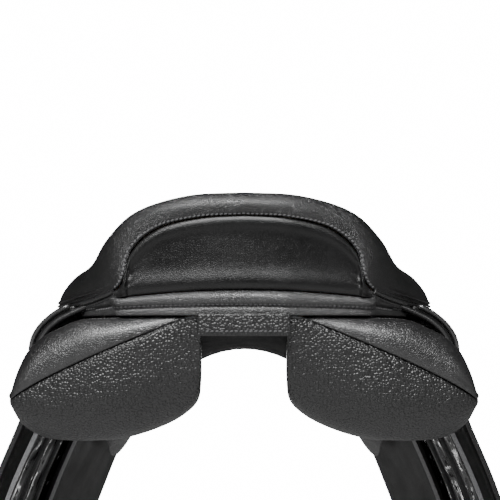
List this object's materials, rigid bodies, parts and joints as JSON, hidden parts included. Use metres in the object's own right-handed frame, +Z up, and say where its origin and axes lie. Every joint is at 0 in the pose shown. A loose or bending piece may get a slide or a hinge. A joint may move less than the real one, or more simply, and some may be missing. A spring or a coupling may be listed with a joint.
{
  "type": "jumping saddle",
  "caption": "Close-contact jumping saddle: dished padded seat on a tree, stuffed panels, liftable flaps over girth straps, stirrup bars and dee rings.",
  "frame": {"origin": "on the middle plane, where the panels bear on the horse's back, halfway along the seat", "axes": "+Y to the horse's head, +X to its right side, +Z up"},
  "size_m": [0.509, 0.4993, 0.4887],
  "materials": {
    "seat_leather": "smooth black leather, soft sheen",
    "facing_leather": "smooth black leather, soft sheen",
    "strip_leather": "smooth black leather",
    "grain_leather": "pebbled black leather",
    "lining_leather": "matte black leather",
    "front_leather": "smooth black leather",
    "panel_leather": "pebbled black leather",
    "gusset_leather": "smooth black leather",
    "flap_leather": "grained black leather, soft sheen",
    "skirt_leather": "smooth black leather, soft sheen",
    "sweat_flap_leather": "matte black leather",
    "strap_leather": "glossy black leather",
    "block_leather": "smooth black leather",
    "seat_foam": "open-cell foam",
    "webbing": "woven cotton web",
    "web_tape": "woven nylon tape",
    "tree_laminate": "laminated beech",
    "steel": "brushed stainless steel"
  },
  "bodies": {
    "saddle": {"seat_cover": "seat_leather", "cantle_facing": "facing_leather", "panel_rear_strip": "strip_leather", "channel_tab": "grain_leather", "channel_lining": "lining_leather", "panel_front_arch": "front_leather", "panel_left": "panel_leather", "panel_right": "panel_leather", "rear_gusset_left": "gusset_leather", "rear_gusset_right": "gusset_leather", "flap_root_left": "flap_leather", "flap_root_right": "flap_leather", "d_ring_chape_left": "skirt_leather", "d_ring_chape_right": "skirt_leather", "sweat_flap_left": "sweat_flap_leather", "sweat_flap_right": "sweat_flap_leather", "knee_block_left": "block_leather", "knee_block_right": "block_leather", "seat_foam": "seat_foam", "seat_webbing": "webbing", "girth_web_front_left": "web_tape", "girth_web_middle_left": "web_tape", "girth_web_rear_left": "web_tape", "girth_web_front_right": "web_tape", "girth_web_middle_right": "web_tape", "girth_web_rear_right": "web_tape", "tree_frame": "tree_laminate", "head_arch": "tree_laminate", "gullet_plate": "steel", "head_plate": "steel", "stirrup_bar_left": "steel", "stirrup_bar_right": "steel", "bar_catch_pin_left": "steel", "bar_catch_pin_right": "steel"},
    "flap_body_left": {"flap_left": "flap_leather", "stirrup_leather_keeper_left": "flap_leather"},
    "skirt_body_left": {"skirt_left": "skirt_leather"},
    "girth_strap_front_body_left": {"girth_strap_front_left": "strap_leather"},
    "girth_strap_middle_body_left": {"girth_strap_middle_left": "strap_leather"},
    "girth_strap_rear_body_left": {"girth_strap_rear_left": "strap_leather"},
    "bar_catch_body_left": {"bar_catch_left": "steel"},
    "d_ring_body_left": {"d_ring_left": "steel"},
    "flap_body_right": {"flap_right": "flap_leather", "stirrup_leather_keeper_right": "flap_leather"},
    "skirt_body_right": {"skirt_right": "skirt_leather"},
    "girth_strap_front_body_right": {"girth_strap_front_right": "strap_leather"},
    "girth_strap_middle_body_right": {"girth_strap_middle_right": "strap_leather"},
    "girth_strap_rear_body_right": {"girth_strap_rear_right": "strap_leather"},
    "bar_catch_body_right": {"bar_catch_right": "steel"},
    "d_ring_body_right": {"d_ring_right": "steel"}
  },
  "joints": [
    {"name": "flap_lift_left", "type": "hinge", "parent": "saddle", "child": "flap_body_left", "pos_m": [-0.14629, 0.0543, 0.05229], "axis": [0.225, 0.9744, 0], "range_deg": [0, 75]},
    {"name": "skirt_lift_left", "type": "hinge", "parent": "saddle", "child": "skirt_body_left", "pos_m": [-0.08695, 0.06113, 0.12524], "axis": [0.225, 0.9744, 0], "range_deg": [0, 70]},
    {"name": "girth_strap_front_swing_left", "type": "hinge", "parent": "saddle", "child": "girth_strap_front_body_left", "pos_m": [-0.11273, 0.02397, 0.09152], "axis": [-0.6855, 0.1583, 0.7106], "range_deg": [-3.5, 3.5]},
    {"name": "girth_strap_middle_swing_left", "type": "hinge", "parent": "saddle", "child": "girth_strap_middle_body_left", "pos_m": [-0.12263, -0.0189, 0.09152], "axis": [-0.6855, 0.1583, 0.7106], "range_deg": [-3.5, 3.5]},
    {"name": "girth_strap_rear_swing_left", "type": "hinge", "parent": "saddle", "child": "girth_strap_rear_body_left", "pos_m": [-0.13253, -0.06177, 0.09152], "axis": [-0.6855, 0.1583, 0.7106], "range_deg": [-3.5, 3.5]},
    {"name": "bar_catch_turn_left", "type": "hinge", "parent": "saddle", "child": "bar_catch_body_left", "pos_m": [-0.10103, 0.04026, 0.1102], "axis": [-0.9744, 0.225, 0], "range_deg": [0, 50]},
    {"name": "d_ring_swing_left", "type": "hinge", "parent": "saddle", "child": "d_ring_body_left", "pos_m": [-0.056, 0.2057, 0.1], "axis": [1, 0, 0], "range_deg": [0, 100]},
    {"name": "flap_lift_right", "type": "hinge", "parent": "saddle", "child": "flap_body_right", "pos_m": [0.14629, 0.0543, 0.05229], "axis": [0.225, -0.9744, 0], "range_deg": [0, 75]},
    {"name": "skirt_lift_right", "type": "hinge", "parent": "saddle", "child": "skirt_body_right", "pos_m": [0.08695, 0.06113, 0.12524], "axis": [0.225, -0.9744, 0], "range_deg": [0, 70]},
    {"name": "girth_strap_front_swing_right", "type": "hinge", "parent": "saddle", "child": "girth_strap_front_body_right", "pos_m": [0.11273, 0.02397, 0.09152], "axis": [-0.6855, -0.1583, -0.7106], "range_deg": [-3.5, 3.5]},
    {"name": "girth_strap_middle_swing_right", "type": "hinge", "parent": "saddle", "child": "girth_strap_middle_body_right", "pos_m": [0.12263, -0.0189, 0.09152], "axis": [-0.6855, -0.1583, -0.7106], "range_deg": [-3.5, 3.5]},
    {"name": "girth_strap_rear_swing_right", "type": "hinge", "parent": "saddle", "child": "girth_strap_rear_body_right", "pos_m": [0.13253, -0.06177, 0.09152], "axis": [-0.6855, -0.1583, -0.7106], "range_deg": [-3.5, 3.5]},
    {"name": "bar_catch_turn_right", "type": "hinge", "parent": "saddle", "child": "bar_catch_body_right", "pos_m": [0.10103, 0.04026, 0.1102], "axis": [-0.9744, -0.225, 0], "range_deg": [0, 50]},
    {"name": "d_ring_swing_right", "type": "hinge", "parent": "saddle", "child": "d_ring_body_right", "pos_m": [0.056, 0.2057, 0.1], "axis": [1, 0, 0], "range_deg": [0, 100]}
  ],
  "couplings": [
    {"joint": "girth_strap_middle_swing_left", "follows": "girth_strap_front_swing_left", "ratio": 1},
    {"joint": "girth_strap_rear_swing_left", "follows": "girth_strap_front_swing_left", "ratio": 1},
    {"joint": "girth_strap_middle_swing_right", "follows": "girth_strap_front_swing_right", "ratio": 1},
    {"joint": "girth_strap_rear_swing_right", "follows": "girth_strap_front_swing_right", "ratio": 1}
  ]
}
